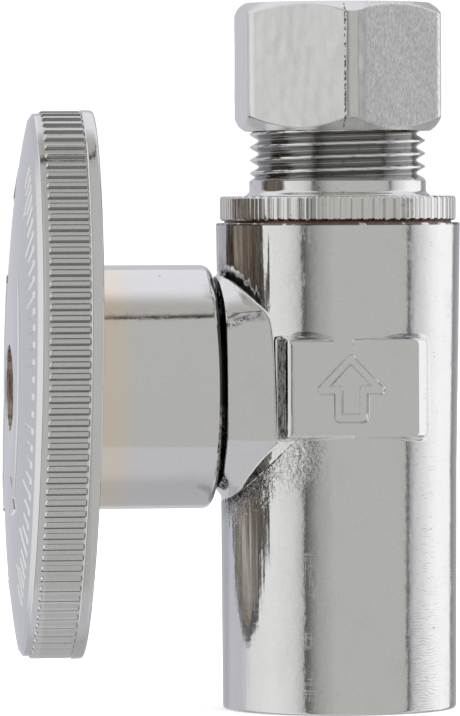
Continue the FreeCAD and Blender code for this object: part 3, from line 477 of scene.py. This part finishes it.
def build_body():
    cols = 1000
    ang = np.arange(cols) / cols * TAU
    zs = np.unique(np.concatenate([
        0.3 * (1 - np.cos(np.linspace(0, math.pi / 2, 7))),
        np.linspace(0.3, 16.0, 90), np.linspace(16.0, 37.0, 250), np.linspace(37.0, 39.42, 20),
        39.6 - 0.18 * (1 - np.sin(np.linspace(0, math.pi / 2, 6)))]))
    T, Z = np.meshgrid(ang, zs)
    C, S = np.cos(T), np.sin(T)
    lo, hi = np.full(T.shape, 8.6), np.full(T.shape, 14.5)
    # walk in from outside so that the outermost surface is the one kept
    steps = np.linspace(14.5, 8.6, 60)
    for s0, s1 in zip(steps[:-1], steps[1:]):
        inside = body_field(s1 * C, s1 * S, Z) < 0
        fresh = inside & (hi - lo > 3)
        hi = np.where(fresh, s0, hi)
        lo = np.where(fresh, s1, lo)
    for _ in range(20):
        mid = (lo + hi) / 2
        inside = body_field(mid * C, mid * S, Z) < 0
        lo, hi = np.where(inside, mid, lo), np.where(inside, hi, mid)
    R = (lo + hi) / 2
    X, Y = R * C, R * S
    # slow waviness of a polished forging, and a rougher, hammered look round the boss
    dzb = Z - STEM_Z
    on_boss = np.hypot(Y, dzb) - 9.1
    side = sstep(-2.0, -5.0, X)
    seam = side * np.exp(-(on_boss / 0.7) ** 2)                                   # the line where the boss meets the barrel
    facet = side * sstep(4.5, 6.5, np.abs(dzb)) * sstep(9.9, 8.9, np.abs(dzb)) * sstep(0.35, -0.05, on_boss)    # the boss's upper and lower slopes
    R = R + 0.007 * waves(X, Y, Z, 12.0, 11, squash=(1, 1, 0.5)) + 0.0016 * waves(X, Y, Z, 2.2, 12, squash=(1, 1, 0.8))
    R = R + 0.0006 * waves(X, Y, Z, 0.75, 15)
    R = R + seam * np.where(dzb > 0, 0.0006, 0.004) * waves(X, Y, Z, 1.3, 13) + facet * 0.016 * waves(X, Y, Z, 2.8, 16) + facet * 0.0025 * waves(X, Y, Z, 0.7, 19)
    # hammered skin on the barrel just outside the boss, heavier below it
    out_b = np.clip(on_boss, 0, 9)
    ham_low = sstep(-2.2, -4.2, X) * sstep(-3.6, -4.4, dzb) * sstep(3.0, 0.5, out_b) * sstep(-0.10, 0.2, on_boss)
    ham_up = sstep(-4.5, -5.8, X) * sstep(5.0, 7.0, dzb) * sstep(1.8, 0.3, out_b) * sstep(-0.10, 0.25, on_boss)
    R = R + (ham_low * 0.0060 + ham_up * 0.0008) * waves(X, Y, Z, 0.45, 17, squash=(1, 1, 0.9))
    # fine upright lines down the side that faces the handle
    lines = sstep(-5.9, -6.7, X) * np.where(dzb > 0, 1.0, 0.8) * sstep(6.5, 8.5, np.abs(dzb)) * (0.35 + 0.65 * sstep(-19.0, -11.0, dzb))
    R = R + lines * 0.0065 * waves(X, Y, Z, 0.42, 20, squash=(1, 1, 0.05)) + lines * 0.0070 * waves(X, Y, Z, 1.1, 24, squash=(1, 1, 0.08))
    # faint rings of the polishing wheel, low on the barrel
    R = R + 0.0010 * sstep(20.0, 10.0, Z) * np.sin(TAU * Z / 0.62 + 2.0 * waves(X, Y, Z, 5.0, 18))
    R = R + np.where((Y < 0), 1, 0) * sstep(5.2, 4.6, np.abs(X + 0.17)) * sstep(4.0, 3.5, np.abs(Z - STEM_Z)) * 0.006 * waves(X, Y, Z, 3.0, 14)
    R = R - np.where(Y < 0, 0.34 * arrow_mask(X + 0.35, Z - STEM_Z), 0.0)
    # rounded rims
    R = R - 0.30 * (1 - np.sqrt(np.clip(1 - (np.clip(0.3 - Z, 0, 0.3) / 0.3) ** 2, 0, 1)))
    R = R - 0.18 * (1 - np.sqrt(np.clip(1 - (np.clip(Z - 39.42, 0, 0.18) / 0.18) ** 2, 0, 1)))
    R = np.minimum(R, np.where(C < 0, 10.2 / np.maximum(-C, 1e-6), 99))
    outer = np.stack([R * C, R * S, Z], -1)
    rings = [(8.9, 39.6), (8.25, 39.6), (8.2, 39.55), (8.2, 33.0), (7.3, 33.0), (7.3, 19.6), (4.0, 19.6), (4.0, 12.7),
             (7.9, 12.7), (7.975, 12.6), (7.975, 6.0), (7.975, 0.2), (8.1, 0.04), (8.3, 0.0), (8.8, 0.0)]
    inner = np.stack([np.stack([r * np.cos(ang), r * np.sin(ang), np.full(cols, h)], -1) for r, h in rings])
    b = Builder()
    b.grid(np.concatenate([outer, inner]), True, True, mats=[0] * (len(zs) + 1) + [1] * (len(rings) - 1))
    # stem housing inside the shroud, with the stop lug on its end
    b.lathe([(3.5, -8.9), (6.0, -8.9), (6.0, -16.7), (5.7, -17.0), (3.5, -17.0)], "x", 180)
    a = np.radians(np.linspace(120, 150, 19))
    ring = []
    for r, x in ((4.35, -16.9), (5.9, -16.9), (5.9, -17.85), (5.8, -17.95), (4.45, -17.95), (4.35, -17.85)):
        ring.append(np.stack([np.full(19, x), r * np.cos(a), STEM_Z + r * np.sin(a)], -1))
    ring = np.array(ring)
    mid = ring.mean(0, keepdims=True)
    P = np.transpose(ring, (1, 0, 2))
    P = np.concatenate([np.repeat(P[:1].mean(1, keepdims=True), P.shape[1], 1), P, np.repeat(P[-1:].mean(1, keepdims=True), P.shape[1], 1)])
    b.grid(P, True, False)
    ob = b.done("body_forging", "valve", [mat_body.mat, mat_brass.mat])
    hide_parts("valve_body")
    return ob


# ------------------------------------------------------------------ outlet adapter with its thread
def ridge(T, Z):
    """Distance in mm from the helical ridge's centre line, along Z."""
    p = (Z - THREAD_Z0) / PITCH - T / TAU
    return np.abs(p - np.round(p)) * PITCH


def build_adapter():
    cols = 1152
    ang = np.arange(cols) / cols * TAU
    b = Builder()
    # collar: 64 flutes
    zs = np.array([39.76, 39.80, 39.88, 39.98, 40.3, 40.8, 41.3, 41.5, 41.6, 41.68, 41.73, 41.76])
    T, Z = np.meshgrid(ang, zs)
    u = (T / TAU * 64) % 1.0
    groove = sstep(0.24, 0.36, np.abs(u - 0.5) * 1.0)
    groove = 1 - sstep(0.16, 0.30, np.abs(u - 0.5))
    edge = 1 - np.sqrt(np.clip(1 - (np.clip(39.98 - Z, 0, 0.22) / 0.22) ** 2, 0, 1)) + 1 - np.sqrt(np.clip(1 - (np.clip(Z - 41.5, 0, 0.26) / 0.26) ** 2, 0, 1))
    R = 9.62 - 0.34 * groove - 0.24 * edge + 0.006 * waves(9 * np.cos(T), 9 * np.sin(T), Z, 4.0, 21)
    R = np.minimum(R, 9.62)
    collar = np.stack([R * np.cos(T), R * np.sin(T), Z], -1)
    rings = [(8.4, 41.76), (7.62, 41.76)]
    lower = [(8.15, 39.70), (8.15, 36.5), (7.25, 36.5), (7.25, 35.2), (8.15, 35.2), (8.15, 33.35), (7.85, 33.05), (6.35, 33.05), (6.35, 34.05),
             (5.25, 34.05), (5.25, 33.05), (3.6, 33.05), (3.6, 44.0), (4.80, 44.0), (4.80, 49.3), (5.95, 50.45)]
    def ring_of(r, h):
        return np.stack([r * np.cos(ang), r * np.sin(ang), np.full(cols, h)], -1)
    # neck and thread, up to the end
    zt = np.unique(np.concatenate([np.linspace(41.76, 42.3, 9), np.linspace(42.3, 43.2, 5), np.linspace(43.2, 50.5, 150)]))
    T, Z = np.meshgrid(ang, zt)
    neck = np.where(Z < 42.3, 7.2 + 0.35 * (1 - sstep(41.76, 42.3, Z)) ** 2, 7.2) - 0.9 * sstep(42.98, 43.55, Z)
    neck = np.minimum(neck, 7.2 + 0.35)
    d = ridge(T, Z)
    crest = 7.135 - np.maximum(0, d - 0.070) / 0.577
    core = np.full(T.shape, 6.46)
    th = smax(crest, core, 0.10)
    th = np.where(Z > 43.0, th, 0)
    r = np.maximum(neck, th)
    # run-out and lead-in
    r = np.minimum(r, np.where(Z > 49.45, 7.14 - (Z - 49.45) * 0.72, 99))
    r = r + 0.004 * waves(7 * np.cos(T), 7 * np.sin(T), Z, 1.7, 22)
    r = np.minimum(r, 7.6)
    thread = np.stack([r * np.cos(T), r * np.sin(T), Z], -1)
    P = np.concatenate([collar, np.array([ring_of(*x) for x in rings]), thread, np.array([ring_of(*x) for x in lower[::-1]])])
    b.grid(P, True, True)
    ob = b.done("outlet_adapter_turned", "valve", [mat_adapter.mat], sharp=42)
    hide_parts("outlet_adapter")
    return ob


# ------------------------------------------------------------------ compression nut
def build_nut():
    cols = 1080
    ang = np.arange(cols) / cols * TAU
    zs = np.unique(np.concatenate([np.linspace(47.05, 48.5, 40), np.linspace(48.5, 56.1, 40), np.linspace(56.1, 57.45, 36)]))
    T, Z = np.meshgrid(ang, zs)
    r = np.full(T.shape, 99.0)
    # six flats, corners towards -Y and +Y; rounded corners
    best = None
    p = 5.0
    # exact rounded hexagon: polar form of a hexagon with corner radius rr
    rr, af = 1.05, 7.9375
    a = (T - math.radians(-90) + math.radians(30)) % math.radians(60) - math.radians(30)   # angle from the nearest corner's mid-flat
    # angle from the nearest flat's centre
    flat = (T - math.radians(-60) + math.radians(30)) % math.radians(60) - math.radians(30)
    rf = af / np.cos(flat)
    corner = math.radians(30) - np.abs(flat)
    dist = af / math.cos(math.radians(30)) - rr / math.cos(math.radians(30))
    # circle of radius rr centred on the corner's line at distance dist
    rc = dist * np.cos(corner) + np.sqrt(np.clip(rr ** 2 - (dist * np.sin(corner)) ** 2, 0, None))
    tangent = math.atan2(rr * math.sin(math.radians(30)), dist + rr * math.cos(math.radians(30)))
    r = np.where(corner < tangent, rc, rf)
    low = 7.60 + (Z - NUT_Z0) * (9.12 - 7.60) / 1.17
    top = 7.55 + (NUT_Z1 - Z) * (9.12 - 7.55) / 0.98
    r = smin(r, low, 0.10)
    r = smin(r, top, 0.16)
    r = r + 0.010 * waves(9 * np.cos(T), 9 * np.sin(T), Z, 6.0, 31) + 0.0035 * waves(9 * np.cos(T), 9 * np.sin(T), Z, 1.4, 32)
    r = np.minimum(r, 9.10)
    outer = np.stack([r * np.cos(T), r * np.sin(T), Z], -1)
    def ring_of(rad, h):
        return np.stack([rad * np.cos(ang), rad * np.sin(ang), np.full(cols, h)], -1)
    topr = [ring_of(6.6, 57.45), ring_of(5.35, 57.45), ring_of(5.08, 57.38), ring_of(4.95, 57.2), ring_of(4.95, 56.27), ring_of(6.62, 54.6)]
    zi = np.linspace(54.0, 47.72, 96)
    T, Z = np.meshgrid(ang, zi)
    d = ridge(T, Z)
    ri = np.maximum(6.62, 7.24 - np.maximum(0, d - 0.09) / 0.577)
    ri = np.where(Z > 53.1, 6.62, ri)
    inner = np.stack([ri * np.cos(T), ri * np.sin(T), Z], -1)
    bot = [ring_of(7.36, 47.10), ring_of(7.41, 47.05)]
    b = Builder()
    P = np.concatenate([outer, np.array(topr), inner, np.array(bot)])
    b.grid(P, True, True, mats=[0] * (len(zs) + 3) + [1] * (len(topr) - 3 + len(zi) + len(bot)))
    ob = b.done("compression_nut_hex", "nut", [mat_nut.mat, mat_nut_in.mat], sharp=50)
    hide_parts("compression_nut")
    return ob


# ------------------------------------------------------------------ handle
def dome(rho):
    return 2.05 - 1.42 * (rho / 0.943) ** 3


def marks(y, z):
    """Raised generic marks on the handle's face: a dial of ticks and two curved arrows. Returns 0..1."""
    q = np.hypot(z / KNOB_A, y / KNOB_B)
    phi = np.arctan2(y / KNOB_B, z / KNOB_A)
    deg = np.degrees(phi)
    tick = np.abs((deg + 2.0) % 4.0 - 2.0)
    which = np.floor((deg + 182.0) / 4.0).astype(int)
    long_one = (which % 4 == 0)
    inner = np.where(long_one, 0.775, 0.825)
    zone = sstep(inner - 0.012, inner + 0.006, q) * (1 - sstep(0.905, 0.922, q))
    arc = (np.abs(np.abs(deg) - 90) < 62)
    m = zone * (1 - sstep(0.55, 0.95, tick)) * arc
    # curved arrows nearer the middle
    band = 1 - sstep(0.018, 0.034, np.abs(q - 0.56))
    sweep = (np.abs(np.abs(deg) - 90) < 44)
    m = np.maximum(m, band * sweep)
    head = (np.abs(deg) - 90 - 44) / 13.0
    m = np.maximum(m, ((head > 0) & (head < 1) & (np.abs(q - 0.56) < 0.085 * (1 - head))) * 1.0)
    return m


def build_handle():
    n = 20000
    t = np.linspace(0, TAU, n + 1)
    s = np.concatenate([[0], np.cumsum(np.hypot(np.diff(KNOB_A * np.cos(t)), np.diff(KNOB_B * np.sin(t))))])
    per = 14
    cols = RIBS * per
    want = np.arange(cols) / cols * s[-1]
    tt = np.interp(want, s, t)
    u = (np.arange(cols) / per) % 1.0                      # place across a rib, 0..1
    pitch = s[-1] / RIBS
    ez, ey = np.cos(tt), np.sin(tt)
    nz, ny = np.cos(tt) / KNOB_A, np.sin(tt) / KNOB_B
    ln = np.hypot(nz, ny)
    nz, ny = nz / ln, ny / ln
    rows, mats = [], []

    def row(h, x, mat=0):
        h = np.broadcast_to(np.asarray(h, float), (cols,))
        rows.append(np.stack([np.broadcast_to(np.asarray(x, float), (cols,)), KNOB_B * ey + ny * h, STEM_Z + KNOB_A * ez + nz * h], -1))
        mats.append(np.broadcast_to(mat, (cols,)))

    def scaled(rho, x, mat=0, circle=0.0):
        z0, y0 = KNOB_A * rho * ez, KNOB_B * rho * ey
        z1, y1 = 3.5 * ez, 3.5 * ey
        zz, yy = z0 * (1 - circle) + z1 * circle, y0 * (1 - circle) + y1 * circle
        if callable(x):
            x = x(yy, zz)
        rows.append(np.stack([np.broadcast_to(np.asarray(x, float), (cols,)), yy, STEM_Z + zz], -1))
        mats.append(np.broadcast_to(mat, (cols,)))

    # hollow back: floor, wall and rear rim
    scaled(0.30, -23.75, 1)
    scaled(0.60, -23.75, 1)
    row(-1.85, -23.75, 1)
    row(-1.65, -23.60, 1)
    row(-1.60, -23.3, 1)
    row(-1.60, -21.5, 1)
    row(-1.60, -20.60, 1)
    # the rim's inner rounding takes material 2: painted shade
    row(-1.52, -20.36, 2)
    row(-1.30, -20.22, 2)
    row(-0.9, -20.20, 2)
    row(-0.12, -20.20, 0)
    for h, x in ((0.02, -20.215), (0.12, -20.25), (0.20, -20.32), (0.245, -20.42), (0.258, -20.55), (0.268, -20.80), (0.278, -21.04),
                 (0.270, -21.12), (0.240, -21.19), (0.18, -21.25), (0.10, -21.29), (0.05, -21.32)):
        row(h, x)
    # ribs: raised, with rounded front ends, run into the lip at the back
    xs = np.concatenate([np.linspace(-21.36, -21.6, 4), np.linspace(-21.85, -24.0, 9), np.linspace(-24.12, -24.62, 12)])
    down = np.where(ey < 0, u < 0.5, u > 0.5)              # the flank of each rib that faces the floor
    dist = np.abs(u + 0.5 / per - 0.5)
    # the middle of the downward flank takes material 3: painted shade
    shaded_flank = down & (dist > 0.17) & (dist < 0.33)
    wob = 1 + 0.03 * waves(KNOB_B * ey, KNOB_A * ez, 0 * ey, 6.0, 41)
    for x in xs:
        end = np.clip((-x - 24.22) / 0.36, 0, 1)
        half = 0.262 * math.sqrt(max(0.0, 1 - end ** 2)) if end < 1 else 0.0
        top = 0.205 * (math.sqrt(max(0.0, 1 - end ** 4)) if end < 1 else 0.0)
        d = np.abs(u - 0.5)
        flank = 0.17
        prof = np.clip((half + flank * 0.5 - d) / flank, 0, 1)
        prof = prof * prof * (3 - 2 * prof) if half > 0 else 0 * d
        root = 0.03 * (1 - sstep(-21.5, -21.14, np.array(x)))
        row(prof * top * wob + root * 0, x, np.where(shaded_flank, 3, 0) if half > 0.12 else 0)
    row(0.0, -24.70)
    row(0.0, -25.00)
    row(-0.010, -25.07)
    row(-0.04, -25.115)

    def rho_at(h):
        return np.hypot((KNOB_A * ez + nz * h) / KNOB_A, (KNOB_B * ey + ny * h) / KNOB_B)
    # flat bevel round the face
    x_end = -24.95 - dome(rho_at(-0.46))
    for f in (0.12, 0.4, 0.65, 0.9, 1.0):
        row(-0.04 - 0.42 * f, -25.115 + f * (x_end + 25.115))
    row(-0.50, -24.95 - dome(rho_at(-0.50)) + 0.004)
    row(-0.60, -24.95 - dome(rho_at(-0.60)))
    def face_x(yy, zz):
        rho = np.hypot(zz / KNOB_A, yy / KNOB_B)
        return -24.95 - dome(rho) - 0.12 * marks(yy, zz) - 0.006 * waves(yy, zz, 0 * yy, 5.0, 42)
    for rho in np.linspace(0.925, 0.40, 88):
        scaled(rho, face_x, circle=0.0)
    hole_x = lambda yy, zz: -24.95 - dome(np.hypot(zz / KNOB_A, yy / KNOB_B))
    for c in np.linspace(0.08, 0.955, 18):
        scaled(0.40, face_x, circle=c)
    b = Builder()
    z1, y1 = ez, ey
    for rad, dx, mt in ((3.66, 0.0, 0), (3.58, 0.03, 0), (3.52, 0.10, 1), (3.50, 0.25, 1)):
        rows.append(np.stack([-24.95 - dome(np.hypot(rad * z1 / KNOB_A, rad * y1 / KNOB_B)) + dx, rad * y1, STEM_Z + rad * z1], -1))
        mats.append(np.broadcast_to(mt, (cols,)))
    for rad, x, mt in ((3.50, -25.5, 1), (3.50, -24.2, 1), (3.50, -23.05, 1), (3.4, -22.9, 1), (2.3, -22.9, 1), (2.3, -22.5, 1)):
        rows.append(np.stack([np.full(cols, x), rad * y1, STEM_Z + rad * z1], -1))
        mats.append(np.broadcast_to(mt, (cols,)))
    P = np.array(rows)
    # the oval sits a touch high on its stem and leans by about a degree, its ends bowed back a little, fading out at the screw hole
    zz = P[..., 2] - STEM_Z
    out = sstep(3.6, 7.0, np.hypot(zz, P[..., 1]))
    P[..., 0] += (0.0230 * zz - 0.28 * (zz / 22.0) ** 2 - 0.10) * out
    P[..., 2] += 0.22 * out
    b.grid(P, True, True, mats=np.array(mats))
    # shroud: one turned skin from its rounded mouth to the web, inner wall and hub
    va = np.arange(540) / 540 * TAU
    updown = np.sin(va) ** 2
    rf = 0.28 + 0.50 * updown
    xm = -10.74 + 0.14 * updown
    sk = 0.006 * waves(9.9 * np.cos(va), 9.9 * np.sin(va), 0 * va, 5.0, 5)
    skin = [(9.92 + sk, -24.0 + 0 * va), (9.92 + sk, -22.0 + 0 * va), (9.92 + sk, -19.0 + 0 * va), (9.92 + sk, -15.0 + 0 * va)]
    skin += [(9.92 + sk - rf * (1 - math.cos(v)), xm - rf * (1 - math.sin(v))) for v in np.linspace(0, math.pi / 2, 12)]
    k = len(skin)
    skin += [(8.65 + 0 * va, xm), (8.45 + 0 * va, xm - 0.12), (8.40 + 0 * va, xm - 0.35)]
    skin += [(r + 0 * va, x + 0 * va) for r, x in ((8.40, -12.0), (8.40, -23.4), (8.25, -23.55), (5.2, -23.55), (5.0, -23.4), (5.0, -18.35), (4.8, -18.15),
                                                  (3.6, -18.15), (3.5, -18.3), (3.5, -22.1), (2.3, -22.1), (2.3, -22.6), (2.3, -24.0))]
    P = np.array([np.stack([x, r * np.cos(va), STEM_Z + r * np.sin(va)], -1) for r, x in skin])
    skin_mats = np.repeat(np.array([0] * (k + 1) + [1] * (len(skin) - k - 1))[:, None], len(va), 1)
    ragged = 0.74 + 0.05 * waves(9 * np.cos(va), 9 * np.sin(va), 0 * va, 0.9, 44)
    for i in range(6, k + 3):                                                      # painted shade with grime round the mouth, thinning towards top and bottom
        skin_mats[i, updown < min(0.25 + 0.11 * (i - 6), 1.02) * ragged / 0.74] = 4
    b.grid(P, True, True, mats=skin_mats)
    ob = b.done("oval_handle", "handle_stem", [mat_handle.mat, mat_raw.mat, mat_rim_shade.mat, mat_rib_shade.mat, mat_gap_shade_and_grime.mat], sharp=48)
    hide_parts("handle")
    return ob


build_body()
build_adapter()
build_nut()
build_handle()

# ------------------------------------------------------------------ CAD pieces that stay as they are
keep = {
    "adapter_seal_ring": mat_copper, "adapter_o_ring": mat_rubber, "inlet_seat": mat_ptfe, "outlet_seat": mat_ptfe,
    "seat_backing_o_ring": mat_rubber, "ball": mat_ball, "stem": mat_brass, "stem_thrust_washer": mat_ptfe,
    "stem_o_ring_inner": mat_rubber, "stem_o_ring_outer": mat_rubber, "stop_plate": mat_steel, "handle_screw": mat_steel,
    "screw_lock_washer": mat_steel, "compression_sleeve": mat_brass,
}
for name, m in keep.items():
    me = N[name].data
    me.materials.clear()
    me.materials.append(m.mat)


# ------------------------------------------------------------------ studio
def plain(name, color, strength=None, rough=0.8):
    m = bpy.data.materials.new(name)
    m.use_nodes = True
    t = m.node_tree
    b = t.nodes["Principled BSDF"]
    b.inputs["Base Color"].default_value = (*color, 1)
    b.inputs["Roughness"].default_value = rough
    if strength is not None:
        t.nodes.remove(b)
        e = t.nodes.new("ShaderNodeEmission")
        e.inputs["Color"].default_value = (*color, 1)
        e.inputs["Strength"].default_value = strength
        t.links.new(e.outputs[0], t.nodes["Material Output"].inputs["Surface"])
    return m


AZ = -7.0

floor_mat = plain("pale_floor", (0.93, 0.93, 0.93), rough=0.9)
floor_mat.node_tree.nodes["Principled BSDF"].inputs["Emission Color"].default_value = (1, 1, 1, 1)
floor_mat.node_tree.nodes["Principled BSDF"].inputs["Emission Strength"].default_value = 0.42
bpy.ops.mesh.primitive_circle_add(vertices=96, radius=0.9, fill_type="NGON", location=(0, 0, 0))
floor = bpy.context.object
floor.name = "floor"
floor.data.materials.append(floor_mat)
floor.visible_glossy = False

# the studio seen in the metal: a grey front card with dark edges, softer light left and right, grey behind, paler above behind, grey floor
world = bpy.data.worlds.new("studio")
bpy.context.scene.world = world
world.use_nodes = True
wt = world.node_tree
bg = wt.nodes["Background"]
bg.inputs["Strength"].default_value = 1.0


def wn(kind, **kw):
    n = wt.nodes.new(kind)
    for k, v in kw.items():
        setattr(n, k, v)
    return n


def wm(op, a, b=None, clamp=False):
    n = wn("ShaderNodeMath", operation=op)
    n.use_clamp = clamp
    for i, x in enumerate((a, b)):
        if x is None:
            continue
        if isinstance(x, (int, float)):
            n.inputs[i].default_value = x
        else:
            wt.links.new(x, n.inputs[i])
    return n.outputs[0]


def wramp(v, a, b, lo=0.0, hi=1.0):
    r = wn("ShaderNodeMapRange", interpolation_type="SMOOTHSTEP")
    for name, val in (("From Min", a), ("From Max", b), ("To Min", lo), ("To Max", hi)):
        if isinstance(val, (int, float)):
            r.inputs[name].default_value = val
        else:
            wt.links.new(val, r.inputs[name])
    wt.links.new(v, r.inputs["Value"])
    return r.outputs["Result"]


def wmix(f, a, b):
    m = wn("ShaderNodeMix", data_type="RGBA")
    if isinstance(f, (int, float)):
        m.inputs["Factor"].default_value = f
    else:
        wt.links.new(f, m.inputs["Factor"])
    for sock, c in ((m.inputs[6], a), (m.inputs[7], b)):
        if isinstance(c, tuple):
            sock.default_value = (*c, 1)
        else:
            wt.links.new(c, sock)
    return m.outputs[2]


wc = wn("ShaderNodeTexCoord")
ws = wn("ShaderNodeSeparateXYZ")
wt.links.new(wc.outputs["Generated"], ws.inputs[0])
dx, dy, dz = ws.outputs
turned = wm("ARCTAN2", wm("ADD", wm("MULTIPLY", dx, math.cos(math.radians(AZ))), wm("MULTIPLY", dy, math.sin(math.radians(AZ)))),
            wm("SUBTRACT", wm("MULTIPLY", dx, math.sin(math.radians(AZ))), wm("MULTIPLY", dy, math.cos(math.radians(AZ)))))
az_deg = wm("MULTIPLY", turned, 180 / math.pi)                  # 0 behind the viewer, positive towards +X
el_deg = wm("MULTIPLY", wm("ARCSINE", dz), 180 / math.pi)
cr = wn("ShaderNodeValToRGB")
cr.color_ramp.interpolation = "LINEAR"
G = (0.505, 0.502, 0.488)
stops = [(-180, (0.60, 0.60, 0.655)), (-150, (0.56, 0.56, 0.61)), (-112, (0.55, 0.55, 0.60)), (-100, (0.76, 0.765, 0.76)),
         (-74, (0.83, 0.835, 0.83)), (-69, (0.83, 0.835, 0.83)), (-58, (0.78, 0.785, 0.78)), (-49, (0.735, 0.74, 0.735)), (-43.4, (0.66, 0.66, 0.655)),
         (-39, (0.55, 0.55, 0.54)), (-35.8, (0.48, 0.48, 0.47)), (-34.4, (0.09, 0.088, 0.085)), (-31.4, (0.15, 0.148, 0.142)), (-27.4, (0.24, 0.238, 0.23)),
         (-23.6, (0.316, 0.314, 0.305)), (-19.7, (0.39, 0.388, 0.377)), (-14, (0.435, 0.432, 0.42)), (-4, G), (60, G), (68.7, (0.47, 0.467, 0.455)),
         (69.3, (0.04, 0.038, 0.036)), (70.9, (0.04, 0.038, 0.036)), (71.6, (0.30, 0.298, 0.31)), (75, (0.45, 0.448, 0.465)), (80, (0.63, 0.628, 0.64)),
         (90, (0.80, 0.80, 0.805)), (101, (0.98, 0.985, 0.99)), (114, (1.06, 1.065, 1.07)), (137, (1.02, 1.02, 1.03)), (141.5, (0.27, 0.265, 0.285)),
         (156, (0.37, 0.365, 0.385)), (180, (0.60, 0.60, 0.655))]
els = cr.color_ramp.elements
while len(els) > 1:
    els.remove(els[-1])
els[0].position = 0.0
els[0].color = (*stops[0][1], 1)
for a, c in stops[1:]:
    e = els.new((a + 180) / 360)
    e.color = (*c, 1)
wt.links.new(wm("DIVIDE", wm("ADD", az_deg, 180.0), 360.0), cr.inputs["Fac"])
facing = wm("SUBTRACT", wm("MULTIPLY", dx, math.sin(math.radians(AZ))), wm("MULTIPLY", dy, math.cos(math.radians(AZ))))
back = wramp(facing, 0.10, -0.30)                                # 0 in front, 1 behind
lim = wm("ADD", 68.4, wm("MULTIPLY", back, -40.0))
lim_low = wm("ADD", 56.5, wm("MULTIPLY", back, -28.0))
above = wmix(back, (0.47, 0.455, 0.425), (0.82, 0.82, 0.86))
below = wmix(back, (0.57, 0.565, 0.59), (0.46, 0.46, 0.48))
over = wm("SUBTRACT", el_deg, lim)
under = wm("SUBTRACT", wm("MULTIPLY", el_deg, -1.0), lim_low)
c1 = wmix(wramp(over, 1.8, 4.2), cr.outputs["Color"], above)
edge = wm("MULTIPLY", wm("MULTIPLY", wramp(over, -0.9, 0.1), wramp(over, 1.8, 5.5, 1.0, 0.0)), wm("SUBTRACT", 1.0, back))
c1 = wmix(edge, c1, (0.05, 0.048, 0.045))
c1 = wmix(wramp(under, -0.4, 0.8), c1, below)
lp = wn("ShaderNodeLightPath")
wt.links.new(wmix(lp.outputs["Is Glossy Ray"], (1.13, 1.13, 1.13), c1), bg.inputs["Color"])


def area(name, loc, target, size, power):
    l = bpy.data.lights.new(name, "AREA")
    l.shape = "DISK"
    l.size = size
    l.energy = power
    o = bpy.data.objects.new(name, l)
    o.location = loc
    o.rotation_euler = (Vector(target) - Vector(loc)).to_track_quat("-Z", "Y").to_euler()
    bpy.context.scene.collection.objects.link(o)
    return o


softbox = area("overhead_softbox", (0.10, -0.20, 0.9), (0, 0, 0.02), 0.9, 1.5)
softbox.visible_glossy = False

cam = bpy.data.cameras.new("camera")
cam.sensor_width = 36
cam.lens = 327.2
cam.clip_start = 0.01
cam.clip_end = 20
co = bpy.data.objects.new("camera", cam)
bpy.context.scene.collection.objects.link(co)
aim = Vector((-0.0089, 0.0, 0.0286))
az, el, dist = math.radians(AZ), math.radians(1.34), 0.530
co.location = aim + dist * Vector((math.sin(az) * math.cos(el), -math.cos(az) * math.cos(el), math.sin(el)))
co.rotation_euler = ((aim - co.location).to_track_quat("-Z", "Y") @ Quaternion((0, 0, 1), math.radians(-0.24))).to_euler()
bpy.context.scene.camera = co

bpy.context.scene.view_settings.view_transform = "Standard"
